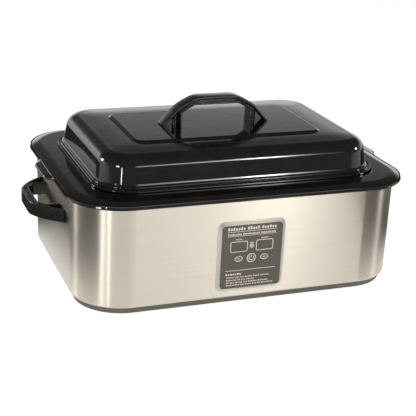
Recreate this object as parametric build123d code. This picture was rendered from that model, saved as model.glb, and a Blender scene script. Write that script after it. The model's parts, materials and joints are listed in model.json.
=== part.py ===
from build123d import *
import os

# Hot stone heater: a stainless casing round a heated well, a lift-out enamelled stone pan
# whose wide rim covers the casing, a domed lid, and a control panel in the front wall.
# Millimetres. +Z is up and z = 0 is the surface that the rubber feet stand on.
# +X runs along the long side, and -Y is the front, where the control panel is.
# Sheet pieces are drawn as one formed section, taken once round a rounded outline.

# ---- casing: the upright stainless wrap ----
casing_length = 520.0
casing_width = 373.0
casing_corner = 78.0
casing_sheet = 1.0
casing_bottom = 15.4
casing_height = 161.1
casing_foot_flange = 24.0
casing_top_flange = 13.0
casing_bend = 2.5

# ---- base panel and feet ----
base_inset = 6.8
base_sheet = 1.0
base_skirt = 10.4
base_bend = 2.0
foot_radius = 13.0
foot_draft = 1.5
foot_from_end = 62.0
foot_from_side = 52.0
foot_recess_radius = 6.0
foot_seat_thickness = 5.0
vent_length = 60.0
vent_width = 4.0
vent_pitch = 11.0
vent_count = 5
vent_offset = 95.0
base_screw_inset = 10.0
base_screw_spread = 130.0

# ---- pan: rim, ears and tub ----
rim_overhang = 10.8
rim_corner = 84.0
rim_skirt_bottom = 170.9
rim_top = 180.5
rim_face = 1.0
rim_shoulder_height = 3.8
rim_roll_run = 11.35
rim_roll_small = 5.0
rim_roll_large = 40.0
rim_surround = 47.8
rim_bead_radius = 1.1
pan_sheet = 1.2
pan_neck_radius = 4.0
pan_draft = 6.0
pan_floor = 45.0
pan_floor_radius = 16.0
pan_floor_turn = 18.0
ear_reach = 11.5
ear_base = 100.0
ear_tip = 56.0
ear_root = 7.0
ear_top = 176.4
ear_corner = 10.0
ear_roll = 3.6

# ---- heated well ----
well_sheet = 1.0
well_inset = 27.5
well_floor = 29.0
well_floor_radius = 14.0
well_neck_radius = 2.5
well_hang_edge = 3.5
well_seat_edge = 16.0

# ---- heating band, blanket and shield ----
part_gap = 0.3
band_thickness = 2.0
band_bottom = 55.0
band_height = 50.0
band_split = 26.0
terminal_radius = 2.5
terminal_length = 9.0
blanket_gap = 3.0
blanket_thickness = 9.0
blanket_bottom = 40.0
blanket_height = 125.0
shield_thickness = 0.8

# ---- lid ----
lid_length = 459.2
lid_width = 312.0
lid_corner = 63.0
lid_sheet = 1.2
lid_hem_height = 1.9
lid_ledge = 4.3
lid_bead_run = 2.2
lid_bead_height = 5.5
lid_groove_run = 2.4
lid_groove_height = 2.2
lid_wall_start = 10.3
lid_wall_lean = 7.3
lid_shoulder = 20.0
lid_shelf_height = 49.2
lid_shelf_run = 18.0
plateau_length = 308.0
plateau_width = 164.0
plateau_corner = 15.0
plateau_height = 4.6
plateau_edge = 2.2

# ---- strap handles: one shape, on the lid and on both end walls ----
handle_bar = 13.0
handle_flat = 66.0
handle_bulge = 7.0
handle_leg = 22.4
handle_chamfer = 13.0
handle_wall = 3.6
handle_web = 3.4
handle_round = 1.6
handle_boss_radius = 5.0
lid_handle_length = 181.0
lid_handle_reach = 44.4
lid_handle_gap = 108.0
lid_handle_width = 24.0
side_handle_length = 164.0
side_handle_reach = 44.0
side_handle_gap = 96.0
side_handle_width = 21.0
side_handle_level = 126.0

# ---- screws and washers ----
screw_radius = 2.0
screw_head_radius = 4.0
screw_head_height = 2.6
screw_clearance = 0.3
thread_gap = 0.1
washer_radius = 6.5
washer_thickness = 1.0
screw_bite = 11.0
cross_width = 1.1
cross_depth = 1.3
small_screw_radius = 1.5
small_head_radius = 2.8
small_head_height = 1.8

# ---- control panel ----
panel_x = -3.5
panel_z = 81.5
bezel_frame_sides = 5.5
bezel_frame_ends = 5.75
bezel_corner = 11.0
bezel_proud = 3.6
bezel_step = 2.2
bezel_step_width = 2.4
bezel_shelf = 3.2
overlay_width = 97.0
overlay_height = 99.5
bezel_width = overlay_width + 2 * bezel_frame_sides
bezel_height = overlay_height + 2 * bezel_frame_ends
overlay_corner = 5.5
overlay_thickness = 1.6
overlay_sunk = 0.8
display_width = 26.0
display_height = 15.4
display_corner = 1.5
display_spread = 20.5
display_rise = 16.0
button_drop = 3.0
oval_width = 14.4
oval_height = 10.2
round_radius = 8.0
button_proud = 0.8
button_travel = 1.0
button_play = 0.3
button_flange = 1.1
button_flange_thickness = 1.0
button_stem_radius = 1.6
indicator_radius = 2.2

# ---- control electronics ----
housing_depth = 19.0
housing_wall = 1.6
housing_inset = 8.0
housing_corner = 4.0
board_thickness = 1.6
board_setback = 9.0
switch_size = 6.0
switch_height = 3.0
relay_size = (19.0, 5.6, 15.0)
transformer_size = (22.0, 5.6, 18.0)
block_size = (24.0, 5.6, 9.0)
plug_size = (8.0, 5.6, 6.0)

# ---- sensor and thermal fuse ----
probe_radius = 3.0
probe_length = 22.0
probe_spread = 60.0
clip_sheet = 0.8
clip_length = 8.0

# ---- rear power inlet ----
inlet_width = 27.0
inlet_height = 19.5
inlet_corner = 3.5
inlet_depth = 13.0
inlet_wall = 1.8
inlet_flange_width = 50.0
inlet_flange_height = 24.0
inlet_flange_thickness = 2.6
inlet_screw_pitch = 40.0
inlet_level = 42.0
pin_width = 4.0
pin_thickness = 2.0
pin_reach = 10.0
pin_tail = 6.0
pin_spread = 7.0
pin_rise = 2.5

# ---- wires ----
wire_radius = 1.3
wire_pitch = 4.0
wire_bend = 3.5
cross_back = 60.0
cross_front = -100.0

# ---- values worked out from the sizes above ----
casing_top = casing_bottom + casing_height
base_bottom = casing_bottom - base_skirt
rim_length = casing_length + 2 * rim_overhang
rim_width = casing_width + 2 * rim_overhang
end_face = casing_length / 2
front_face = -casing_width / 2
front_inside = front_face + casing_sheet
back_face = casing_width / 2
back_inside = back_face - casing_sheet
hang_top = casing_top + well_sheet
seat_top = rim_top - pan_sheet
well_outside = well_inset - well_sheet
lid_bottom = rim_top
shelf_middle = lid_bottom + lid_shelf_height
shelf_top = shelf_middle + lid_sheet / 2
plateau_top = shelf_top + plateau_height
overlay_front = front_face - bezel_proud + overlay_sunk
overlay_back = overlay_front + overlay_thickness
board_front = front_inside + board_setback
board_back = board_front + board_thickness
housing_back = front_inside + housing_depth
band_inside = well_outside - part_gap
band_outside = band_inside - band_thickness
blanket_inside = band_outside - blanket_gap
blanket_outside = blanket_inside - blanket_thickness
front_columns = (-display_spread, 0.0, display_spread)
upper_row = overlay_height / 8
lower_row = -overlay_height / 4
block_x = panel_x + overlay_width / 4
sensor_x = panel_x - overlay_width / 4
slot_half = 2.5 * wire_pitch
wire_level = casing_bottom + casing_sheet + 3 * wire_radius
wire_row = board_back + block_size[1] / 2


def casing_outline(inset):
    """Outline of the casing, drawn in all round by an inset."""
    return RectangleRounded(casing_length - 2 * inset, casing_width - 2 * inset, casing_corner - inset)


def rim_outline(inset):
    """Outline of the pan's rim, drawn in all round by an inset."""
    return RectangleRounded(rim_length - 2 * inset, rim_width - 2 * inset, rim_corner - inset)


def lid_outline(inset):
    """Outline of the lid's flange, drawn in all round by an inset."""
    return RectangleRounded(lid_length - 2 * inset, lid_width - 2 * inset, lid_corner - inset)


def slab(sketch, low, high):
    """A flat sketch made solid between two heights."""
    return Pos(0, 0, low) * extrude(sketch, high - low)


def band(outline, outer_inset, inner_inset, low, high):
    """A straight band between two insets of one outline."""
    return slab(outline(outer_inset) - outline(inner_inset), low, high)


def around(outline, section):
    """Take a section once round an outline: its x is the distance outward, its y the height."""
    path = outline.wire()
    start = path @ 0
    outward = (path % 0).cross(Vector(0, 0, 1))
    if outward.dot(start) < 0:
        outward = -outward
    plane = Plane(origin=(start.X, start.Y, 0), x_dir=outward, z_dir=outward.cross(Vector(0, 0, 1)))
    return sweep(plane * section, path=path)


def formed_sheet(outline, middle_line, bends, thickness):
    """Bent sheet: the middle line of its section, with a bend radius at each inner point."""
    line = FilletPolyline(*middle_line, radius=bends)
    section = make_face(offset(line.wire(), amount=thickness / 2).edges())
    return around(outline, section)


def box_between(low, high):
    """A box from its lowest and highest corners."""
    size = [high[i] - low[i] for i in range(3)]
    middle = [(high[i] + low[i]) / 2 for i in range(3)]
    return Pos(*middle) * Box(*size)


def rod(start, direction, radius, length):
    """A round bar from a point along a direction."""
    return extrude(Plane(origin=start, z_dir=direction) * Circle(radius), length)


def screw(seat, direction, length, radius, head_radius, head_height):
    """Cross-head screw: the head stands behind the seat and the shank runs along the direction."""
    seat_plane = Plane(origin=seat, z_dir=direction)
    shank = extrude(seat_plane * Circle(radius), length)
    head = extrude(seat_plane * Circle(head_radius), -head_height)
    head = fillet(head.edges().sort_by(Axis(seat, direction))[0], head_height * 0.6)
    top = seat_plane.offset(-head_height)
    cross = Rectangle(head_radius * 1.1, cross_width) + Rectangle(cross_width, head_radius * 1.1)
    return shank + head - extrude(top * cross, cross_depth)


def front_plane(y):
    """Plane across the front at a depth: x to the right, z up, origin at the panel's centre."""
    return Plane(origin=(panel_x, y, panel_z), x_dir=(1, 0, 0), z_dir=(0, -1, 0))


def front_slab(sketch, near, far):
    """A sketch on the control panel made solid from the near face back to the far one."""
    return extrude(front_plane(far) * sketch, far - near)


def compound(name, pieces):
    """Several like solids kept as one group."""
    group = Compound(children=list(pieces))
    group.label = name
    return group


# ---- outer shell ----

def make_outer_casing():
    section = [
        (-casing_foot_flange, casing_bottom + casing_sheet / 2),
        (-casing_sheet / 2, casing_bottom + casing_sheet / 2),
        (-casing_sheet / 2, casing_top - casing_sheet / 2),
        (-casing_top_flange, casing_top - casing_sheet / 2),
    ]
    shell = formed_sheet(casing_outline(0), section, casing_bend, casing_sheet)
    window = RectangleRounded(panel_cut_width(), panel_cut_height(), overlay_corner)
    shell = shell - front_slab(window, front_face - casing_sheet, front_inside + casing_sheet)
    inlet = RectangleRounded(inlet_width + 2 * part_gap, inlet_height + 2 * part_gap, inlet_corner)
    shell = shell - extrude(inlet_plane(back_inside - casing_sheet) * inlet, 3 * casing_sheet)
    for seat, direction in inlet_screw_seats() + side_screw_seats():
        hole = rod(seat, direction, screw_radius + screw_clearance, 4 * casing_sheet)
        back = [-d for d in direction]
        shell = shell - hole - rod(seat, back, screw_radius + screw_clearance, 4 * casing_sheet)
    for seat in base_screw_seats():
        shell = shell - rod(seat, (0, 0, 1), screw_radius + thread_gap, 3 * casing_sheet)
    return shell


def panel_cut_width():
    return overlay_width - 2 * bezel_shelf + 2 * housing_wall


def panel_cut_height():
    return overlay_height - 2 * bezel_shelf + 2 * housing_wall


def base_screw_seats():
    """Six screws under the base, through its plate into the casing's bottom flange."""
    low = casing_bottom - base_sheet
    side = casing_width / 2 - base_inset - base_screw_inset
    end = casing_length / 2 - base_inset - base_screw_inset
    seats = [(x, y, low) for x in (-base_screw_spread, base_screw_spread) for y in (-side, side)]
    return seats + [(-end, 0, low), (end, 0, low)]


def foot_centres():
    x = casing_length / 2 - foot_from_end
    y = casing_width / 2 - foot_from_side
    return [(sx * x, sy * y) for sx in (-1, 1) for sy in (-1, 1)]


def make_base_panel():
    plate_middle = casing_bottom - base_sheet / 2
    skirt = -base_inset - base_sheet / 2
    section = [
        (skirt, base_bottom + base_sheet / 2),
        (skirt, plate_middle),
        (-casing_foot_flange * 2, plate_middle),
    ]
    panel = formed_sheet(casing_outline(0), section, base_bend, base_sheet)
    plate = casing_outline(2 * casing_foot_flange - base_sheet)
    panel = panel + slab(plate, casing_bottom - base_sheet, casing_bottom)
    for side in (-1, 1):
        for row in range(vent_count):
            y = (row - (vent_count - 1) / 2) * vent_pitch
            slot = Pos(side * vent_offset, y, casing_bottom) * SlotOverall(vent_length, vent_width)
            panel = panel - extrude(slot, 2 * base_sheet, both=True)
    for seat in base_screw_seats():
        panel = panel - rod(seat, (0, 0, 1), screw_radius + screw_clearance, 2 * base_sheet)
    for x, y in foot_centres():
        start = (x, y, casing_bottom - 2 * base_sheet)
        hole = rod(start, (0, 0, 1), screw_radius + thread_gap, 3 * base_sheet)
        panel = panel - hole
    return panel


def make_base_screws():
    length = casing_sheet + base_sheet + 5
    return compound("base_screws", [
        screw(seat, (0, 0, 1), length, screw_radius, screw_head_radius, screw_head_height)
        for seat in base_screw_seats()])


def make_rubber_feet():
    feet = []
    top = casing_bottom - base_sheet
    seat = top - foot_seat_thickness
    for x, y in foot_centres():
        foot = loft([Pos(x, y, 0) * Circle(foot_radius - foot_draft), Pos(x, y, top) * Circle(foot_radius)])
        foot = fillet(foot.edges().sort_by(Axis.Z)[0], foot_draft)
        foot = foot - rod((x, y, 0), (0, 0, 1), foot_recess_radius, seat)
        foot = foot - rod((x, y, 0), (0, 0, 1), screw_radius + screw_clearance, top)
        feet.append(foot)
    return compound("rubber_feet", feet)


def make_foot_screws():
    seat = casing_bottom - base_sheet - foot_seat_thickness
    length = foot_seat_thickness + base_sheet + 4
    return compound("foot_screws", [
        screw((x, y, seat), (0, 0, 1), length, screw_radius, screw_head_radius, screw_head_height)
        for x, y in foot_centres()])


# ---- heated well and what wraps it ----

def make_heating_well():
    half = well_sheet / 2
    wall = -well_inset + half
    section = [
        (-well_hang_edge, hang_top - half),
        (-well_seat_edge, hang_top - half),
        (-well_seat_edge, seat_top - half),
        (wall, seat_top - half),
        (wall, well_floor + half),
        (wall - 2 * well_floor_radius, well_floor + half),
    ]
    bends = [half * 1.4, half * 1.4, well_neck_radius, well_floor_radius]
    well = formed_sheet(casing_outline(0), section, bends, well_sheet)
    floor = casing_outline(well_inset + 2 * well_floor_radius - well_sheet)
    return well + slab(floor, well_floor, well_floor + well_sheet)


def make_heating_band():
    ribbon = band(casing_outline, band_outside, band_inside, band_bottom, band_bottom + band_height)
    top = band_bottom + band_height
    split = box_between((-band_split / 2, 0, band_bottom), (band_split / 2, back_face, top))
    return ribbon - split


def terminal_seats():
    x = band_split / 2 + terminal_radius * 2
    y = back_face - band_outside
    z = band_bottom + band_height / 2
    return [((side * x, y, z), (0, 1, 0)) for side in (-1, 1)]


def make_band_terminals():
    posts = []
    for seat, direction in terminal_seats():
        post = rod(seat, direction, terminal_radius, terminal_length)
        nut_start = [seat[i] + direction[i] * terminal_length * 0.3 for i in range(3)]
        hexagon = RegularPolygon(terminal_radius * 1.8, 6)
        nut = extrude(Plane(origin=nut_start, z_dir=direction) * hexagon, 2)
        posts.append(post + nut)
    return compound("band_terminals", posts)


def make_insulation_blanket():
    top = blanket_bottom + blanket_height
    blanket = band(casing_outline, blanket_outside, blanket_inside, blanket_bottom, top)
    half = panel_cut_width() / 2 + housing_inset + blanket_thickness
    front = box_between((panel_x - half, front_face, 0), (panel_x + half, 0, top))
    back_half = band_split / 2 + 4 * terminal_radius + blanket_thickness
    back = box_between((-back_half, 0, 0), (back_half, back_face, top))
    return blanket - front - back


def make_heat_shield():
    """Plain reflector on the back of the control housing, facing the hot well."""
    half = panel_cut_width() / 2
    low = (panel_x - half, housing_back, panel_z - bezel_height / 2)
    high = (panel_x + half, housing_back + shield_thickness, panel_z + bezel_height / 2)
    return box_between(low, high)


# ---- pan ----

def make_insert_pan():
    half = pan_sheet / 2
    face = -rim_face - half
    middle = rim_top - half
    floor = pan_floor + half
    roll = face - rim_roll_run
    wall = -rim_surround - half
    section = [
        (face, rim_skirt_bottom + half),
        (face, middle - rim_shoulder_height - pan_neck_radius / 5),
        (roll, middle),
        (wall, middle),
        (wall - pan_draft, floor),
        (wall - pan_draft - pan_floor_turn, floor),
    ]
    bends = [rim_roll_small, rim_roll_large, pan_neck_radius, pan_floor_radius]
    pan = formed_sheet(rim_outline(0), section, bends, pan_sheet)
    floor_outline = rim_outline(-wall + pan_draft + pan_floor_turn - pan_sheet)
    pan = pan + slab(floor_outline, pan_floor, pan_floor + pan_sheet)
    bead = Pos(-rim_bead_radius, rim_skirt_bottom + rim_bead_radius) * Circle(rim_bead_radius)
    pan = pan + around(rim_outline(0), bead)
    for side in (-1, 1):
        pan = pan + make_ear(side)
    return pan


def ear_plan(side, inset):
    """Plan of one lifting ear, drawn in by an inset on its three outer sides."""
    root = rim_length / 2 - ear_root
    rim = rim_length / 2
    tip = rim_length / 2 + ear_reach - inset
    base = ear_base / 2 - inset
    end = ear_tip / 2 - inset
    points = [(root, -base), (rim, -base), (tip, -end), (tip, end), (rim, base), (root, base)]
    plan = make_face(Polyline(*[(side * x, y) for x, y in points], close=True))
    tips = plan.vertices().sort_by(Axis((0, 0, 0), (side, 0, 0)))[-2:]
    return fillet(tips, ear_corner - inset)


def make_ear(side):
    """Hollow lifting ear, open below and against the rim."""
    outward = Axis((0, 0, 0), (side, 0, 0))
    outer = slab(ear_plan(side, 0), rim_skirt_bottom, ear_top)
    ear = fillet(outer.edges().group_by(Axis.Z)[-1].sort_by(outward)[1:], ear_roll)
    hollow = slab(ear_plan(side, pan_sheet), rim_skirt_bottom, ear_top - pan_sheet)
    return ear - fillet(hollow.edges().group_by(Axis.Z)[-1].sort_by(outward)[1:], ear_roll - pan_sheet)


# ---- lid ----

def make_lid():
    half = lid_sheet / 2
    low = lid_bottom + half
    ledge = -half - lid_ledge
    bead = ledge - lid_bead_run
    groove = bead - lid_groove_run
    bead_top = low + lid_bead_height
    section = [
        (-half, low + lid_hem_height),
        (-half, low),
        (ledge, low),
        (bead, low + lid_bead_run),
        (bead, bead_top),
        (groove, bead_top + lid_groove_height),
        (-lid_wall_start, bead_top + 2 * lid_groove_height),
        (-lid_wall_start - lid_wall_lean, shelf_middle),
        (-lid_wall_start - lid_wall_lean - lid_shelf_run, shelf_middle),
    ]
    bends = [0.8, 1.5, 1.0, 1.2, 1.0, 1.0, lid_shoulder]
    lid = formed_sheet(lid_outline(0), section, bends, lid_sheet)
    shelf_inset = lid_wall_start + lid_wall_lean + lid_shelf_run - lid_sheet
    lid = lid + slab(lid_outline(shelf_inset), shelf_top - lid_sheet, shelf_top)
    plateau = slab(RectangleRounded(plateau_length, plateau_width, plateau_corner), shelf_top, plateau_top)
    plateau = fillet(plateau.edges().group_by(Axis.Z)[-1], plateau_edge)
    lid = lid + plateau
    inside = RectangleRounded(plateau_length - 2 * lid_sheet, plateau_width - 2 * lid_sheet,
                              plateau_corner - lid_sheet)
    lid = lid - slab(inside, shelf_top - lid_sheet, plateau_top - lid_sheet)
    for seat, direction in lid_screw_seats():
        lid = lid - rod(seat, direction, screw_radius + screw_clearance, 3 * lid_sheet)
    return lid


# ---- strap handles ----

def boss_x(length, gap):
    """Middle of a foot's screw boss, clear of the upright leg."""
    return gap / 2 + handle_wall + handle_boss_radius


def handle_profile(length, reach, gap):
    """Side outline of a strap handle standing on a line, before its opening is cut."""
    half = length / 2
    flat = handle_flat / 2
    rise = Vector(half - flat, reach)
    outward = Vector(rise.Y, rise.X).normalized() * handle_bulge
    middle = Vector((half + flat) / 2, reach / 2) + outward
    right = ThreePointArc((half, 0), (middle.X, middle.Y), (flat, reach))
    left = ThreePointArc((-flat, reach), (-middle.X, middle.Y), (-half, 0))
    top = Line((flat, reach), (-flat, reach))
    foot = Line((-half, 0), (half, 0))
    return make_face([right, top, left, foot])


def handle_opening(reach, gap):
    """Finger opening: upright legs with their upper corners cut off."""
    leg = gap / 2
    under = reach - handle_bar
    corner = under - (reach - handle_bar - handle_leg)
    points = [(leg, 0), (leg, handle_leg), (leg - handle_chamfer, under),
              (handle_chamfer - leg, under), (-leg, handle_leg), (-leg, 0)]
    return make_face(Polyline(*points, close=True))


def make_strap_handle(length, reach, gap, width):
    """Handle on z = 0 with its bar along x: hollow feet, each with a middle web and a boss."""
    upright = Plane.XZ
    profile = handle_profile(length, reach, gap)
    body = extrude(upright * (profile - handle_opening(reach, gap)), width / 2, both=True)
    faces = body.faces().sort_by(Axis.Y)
    ends = (faces[0], faces[-1])
    rims = [edge for face in ends for edge in face.edges() if edge.center().Z > handle_round]
    body = fillet(rims, handle_round)
    inner = offset(profile, amount=-handle_wall)
    pocket_depth = (width - handle_web) / 2
    for side in (-1, 1):
        near = gap / 2 + handle_wall
        window = Pos(side * (near + length) / 2, reach / 2) * Rectangle(length - near, reach)
        below = Pos(0, handle_leg / 2) * Rectangle(length, handle_leg)
        pocket = upright * (inner & window & below)
        for face in (-1, 1):
            start = face * (handle_web / 2 + pocket_depth / 2)
            body = body - Pos(0, start, 0) * extrude(pocket, pocket_depth / 2 + handle_round / 8, both=True)
        foot = Pos(side * boss_x(length, gap), 0, 0)
        boss = foot * Cylinder(handle_boss_radius, screw_bite + handle_wall,
                               align=(Align.CENTER, Align.CENTER, Align.MIN))
        body = body + boss
        body = body - foot * Cylinder(screw_radius + thread_gap, screw_bite + thread_gap,
                                      align=(Align.CENTER, Align.CENTER, Align.MIN))
    return body


def make_lid_handle():
    handle = make_strap_handle(lid_handle_length, lid_handle_reach, lid_handle_gap, lid_handle_width)
    return Pos(0, 0, plateau_top) * handle


def make_side_handle(side):
    handle = make_strap_handle(side_handle_length, side_handle_reach, side_handle_gap, side_handle_width)
    plane = Plane(origin=(side * end_face, 0, side_handle_level), x_dir=(0, side, 0), z_dir=(side, 0, 0))
    return plane.location * handle


def lid_screw_seats():
    x = boss_x(lid_handle_length, lid_handle_gap)
    z = plateau_top - lid_sheet
    return [((side * x, 0, z), (0, 0, 1)) for side in (-1, 1)]


def side_screw_seats():
    y = boss_x(side_handle_length, side_handle_gap)
    x = end_face - casing_sheet
    corners = [(side, along) for side in (-1, 1) for along in (-1, 1)]
    return [((side * x, along * y, side_handle_level), (side, 0, 0)) for side, along in corners]


def washer_stack(name, seats, sheet):
    """Washers and pan-head screws behind a sheet, biting into the handle bosses."""
    washers = []
    screws = []
    for seat, direction in seats:
        plane = Plane(origin=seat, z_dir=direction)
        disc = Circle(washer_radius) - Circle(screw_radius + screw_clearance)
        washers.append(extrude(plane * disc, -washer_thickness))
        head_seat = tuple(seat[i] - direction[i] * washer_thickness for i in range(3))
        length = washer_thickness + sheet + screw_bite
        sizes = (screw_radius, screw_head_radius, screw_head_height)
        screws.append(screw(head_seat, direction, length, *sizes))
    return compound(name + "_washers", washers), compound(name + "_screws", screws)


# ---- control panel ----

def make_panel_bezel():
    outer = RectangleRounded(bezel_width, bezel_height, bezel_corner)
    front = front_face - bezel_proud
    frame = front_slab(outer, front, front_face)
    frame = fillet(frame.edges().group_by(Axis.Y)[0], bezel_step / 2)
    step = RectangleRounded(bezel_width - 2 * bezel_step_width, bezel_height - 2 * bezel_step_width,
                            bezel_corner - bezel_step_width)
    rail = RectangleRounded(bezel_width - 4 * bezel_step_width + 1, bezel_height - 4 * bezel_step_width + 1,
                            bezel_corner - 2 * bezel_step_width + 0.5)
    groove = front_slab(step - rail, front, front + bezel_step / 4)
    frame = frame - groove
    seat = RectangleRounded(overlay_width, overlay_height, overlay_corner)
    frame = frame - front_slab(seat, front, overlay_back)
    through = RectangleRounded(overlay_width - 2 * bezel_shelf, overlay_height - 2 * bezel_shelf,
                               overlay_corner - bezel_shelf)
    return frame - front_slab(through, front, front_face)


def overlay_holes():
    """Openings in the overlay for the displays, the buttons and the indicator."""
    window = RectangleRounded(display_width, display_height, display_corner)
    holes = Pos(-display_spread, display_rise) * window + Pos(display_spread, display_rise) * window
    for x in (-display_spread, display_spread):
        holes = holes + Pos(x, -button_drop) * oval(button_play)
    holes = holes + Pos(0, -button_drop) * disc(button_play)
    return holes + Pos(0, display_rise) * Circle(indicator_radius)


def make_panel_overlay():
    sheet = RectangleRounded(overlay_width - 2 * part_gap, overlay_height - 2 * part_gap, overlay_corner)
    return front_slab(sheet - overlay_holes(), overlay_front, overlay_back)


def make_display_window(x):
    lens = RectangleRounded(display_width, display_height, display_corner)
    return front_slab(Pos(x, display_rise) * lens, overlay_front + part_gap, overlay_back)


def make_display_module(x):
    """Two-digit display standing on the board behind its window."""
    body = Rectangle(display_width - 4, display_height - 2)
    module = front_slab(Pos(x, display_rise) * body, overlay_back + part_gap, board_front)
    return module


def make_heat_indicator():
    lens = Pos(0, display_rise) * Circle(indicator_radius)
    stem = Pos(0, display_rise) * Circle(indicator_radius - part_gap)
    lamp = front_slab(lens, overlay_front, overlay_back)
    lamp = fillet(lamp.edges().group_by(Axis.Y)[0], indicator_radius / 3)
    return lamp + front_slab(stem, overlay_back, board_front)


def oval(growth):
    """Outline of the minus and plus keys, grown all round."""
    return Ellipse(oval_width / 2 + growth, oval_height / 2 + growth)


def disc(growth):
    """Outline of the power key, grown all round."""
    return Circle(round_radius + growth)


def make_button(x, outline):
    """Key cap through the overlay, kept in by a flange and standing on its switch by a stem."""
    place = Pos(x, -button_drop)
    flange_front = overlay_back + part_gap
    flange_back = flange_front + button_flange_thickness
    button = front_slab(place * outline(0), overlay_front - button_proud, flange_back)
    button = chamfer(button.edges().group_by(Axis.Y)[0], button_proud / 2)
    button = button + front_slab(place * outline(button_flange), flange_front, flange_back)
    stem = place * Circle(button_stem_radius)
    switch_front = board_front - switch_height
    return button + front_slab(stem, flange_back, switch_front - button_travel - part_gap)


def make_tactile_switches():
    switches = []
    for x in front_columns:
        body = Pos(x, -button_drop) * RectangleRounded(switch_size, switch_size, 1)
        switches.append(front_slab(body, board_front - switch_height, board_front))
    return compound("tactile_switches", switches)


def housing_outline(inset):
    width = panel_cut_width() + 2 * housing_inset
    height = panel_cut_height() + 2 * housing_inset
    return RectangleRounded(width - 2 * inset, height - 2 * inset, housing_corner)


def make_control_housing():
    """Open-fronted box against the casing's inner face, with four posts for the board."""
    box = front_slab(housing_outline(0), front_inside, housing_back)
    box = box - front_slab(housing_outline(housing_wall), front_inside, housing_back - housing_wall)
    for x, z in board_screw_places():
        post = Pos(x, z) * (Circle(small_screw_radius * 2.4) - Circle(small_screw_radius + thread_gap))
        box = box + front_slab(post, board_back, housing_back - housing_wall)
    floor = panel_z - panel_cut_height() / 2 - housing_inset
    for x in (block_x - slot_half, sensor_x - slot_half):
        box = box - box_between((x, wire_row - wire_pitch, floor - housing_wall),
                                (x + 2 * slot_half, wire_row + wire_pitch / 2, floor + 2 * housing_wall))
    return box


def board_screw_places():
    x = panel_cut_width() / 2 + housing_inset - housing_wall - 3 * small_screw_radius
    z = panel_cut_height() / 2 + housing_inset - housing_wall - 3 * small_screw_radius
    return [(sx * x, sz * z) for sx in (-1, 1) for sz in (-1, 1)]


def make_control_board():
    sheet = housing_outline(housing_wall + 2 * part_gap)
    for x, z in board_screw_places():
        sheet = sheet - Pos(x, z) * Circle(small_screw_radius + screw_clearance)
    return front_slab(sheet, board_front, board_back)


def make_board_screws():
    screws = []
    length = board_thickness + 4
    for x, z in board_screw_places():
        seat = (panel_x + x, board_front, panel_z + z)
        piece = screw(seat, (0, 1, 0), length, small_screw_radius, small_head_radius, small_head_height)
        screws.append(piece)
    return compound("board_screws", screws)


def board_part(size, x, z):
    """A block on the back of the control board."""
    width, depth, height = size
    low = (panel_x + x - width / 2, board_back, panel_z + z - height / 2)
    high = (panel_x + x + width / 2, board_back + depth, panel_z + z + height / 2)
    block = box_between(low, high)
    return chamfer(block.edges().group_by(Axis.Y)[-1], 0.8)


# ---- sensor, fuse, inlet and wires ----

def probe_on_floor(side):
    """A small capsule lying across under the well's floor."""
    z = well_floor - probe_radius - part_gap
    start = (side * probe_spread, -probe_length / 2, z)
    body = rod(start, (0, 1, 0), probe_radius, probe_length)
    return fillet(body.edges(), probe_radius * 0.4)


def probe_clip(side):
    """Sheet strap under a capsule, with a tab each side against the well's floor."""
    x = side * probe_spread
    top = well_floor
    bottom = top - 2 * probe_radius - 2 * part_gap - clip_sheet
    half = probe_radius + part_gap + clip_sheet
    strap = box_between((x - half, -clip_length / 2, bottom), (x + half, clip_length / 2, top))
    hollow = box_between((x - half + clip_sheet, -clip_length, bottom + clip_sheet),
                         (x + half - clip_sheet, clip_length, top + clip_sheet))
    tab_low = (x - 2 * half, -clip_length / 2, top - clip_sheet)
    tabs = box_between(tab_low, (x + 2 * half, clip_length / 2, top))
    return (strap + tabs) - hollow


def inlet_plane(y):
    """Plane across the back at a depth, with its origin at the inlet's centre."""
    return Plane(origin=(0, y, inlet_level), x_dir=(-1, 0, 0), z_dir=(0, 1, 0))


def inlet_screw_seats():
    x = inlet_screw_pitch / 2
    y = back_face + inlet_flange_thickness
    return [((side * x, y, inlet_level), (0, -1, 0)) for side in (-1, 1)]


def make_power_inlet():
    """Recessed three-pin socket with a flange that two screws hold to the casing's back."""
    outline = RectangleRounded(inlet_width, inlet_height, inlet_corner)
    shell = extrude(inlet_plane(back_face - inlet_depth) * outline, inlet_depth + inlet_flange_thickness)
    flange = RectangleRounded(inlet_flange_width, inlet_flange_height, inlet_corner)
    body = shell + extrude(inlet_plane(back_face) * flange, inlet_flange_thickness)
    cavity = offset(outline, amount=-inlet_wall)
    cavity_floor = back_face - inlet_depth + inlet_wall
    body = body - extrude(inlet_plane(cavity_floor) * cavity, inlet_depth + 2 * inlet_wall)
    for x, z in pin_places():
        slot = Pos(x, z) * Rectangle(pin_width, pin_thickness)
        body = body - extrude(inlet_plane(back_face - inlet_depth) * slot, inlet_wall)
    for seat, direction in inlet_screw_seats():
        body = body - rod(seat, direction, screw_radius + screw_clearance, inlet_flange_thickness)
    return body


def pin_places():
    return [(-pin_spread, -pin_rise), (pin_spread, -pin_rise), (0, pin_rise)]


def make_inlet_pins():
    pins = []
    start = back_face - inlet_depth - pin_tail
    for x, z in pin_places():
        blade = Pos(x, z) * Rectangle(pin_width, pin_thickness)
        pins.append(extrude(inlet_plane(start) * blade, pin_tail + pin_reach))
    return compound("inlet_pins", pins)


def make_inlet_screws():
    length = inlet_flange_thickness + casing_sheet + 5
    return compound("inlet_screws", [
        screw(seat, direction, length, screw_radius, screw_head_radius, screw_head_height)
        for seat, direction in inlet_screw_seats()])


def make_wire(points, bend):
    """One insulated wire along straight runs and round bends."""
    path = FilletPolyline(*points, radius=bend)
    start = path @ 0
    return sweep(Plane(origin=start, z_dir=path % 0) * Circle(wire_radius), path=path)


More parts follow.
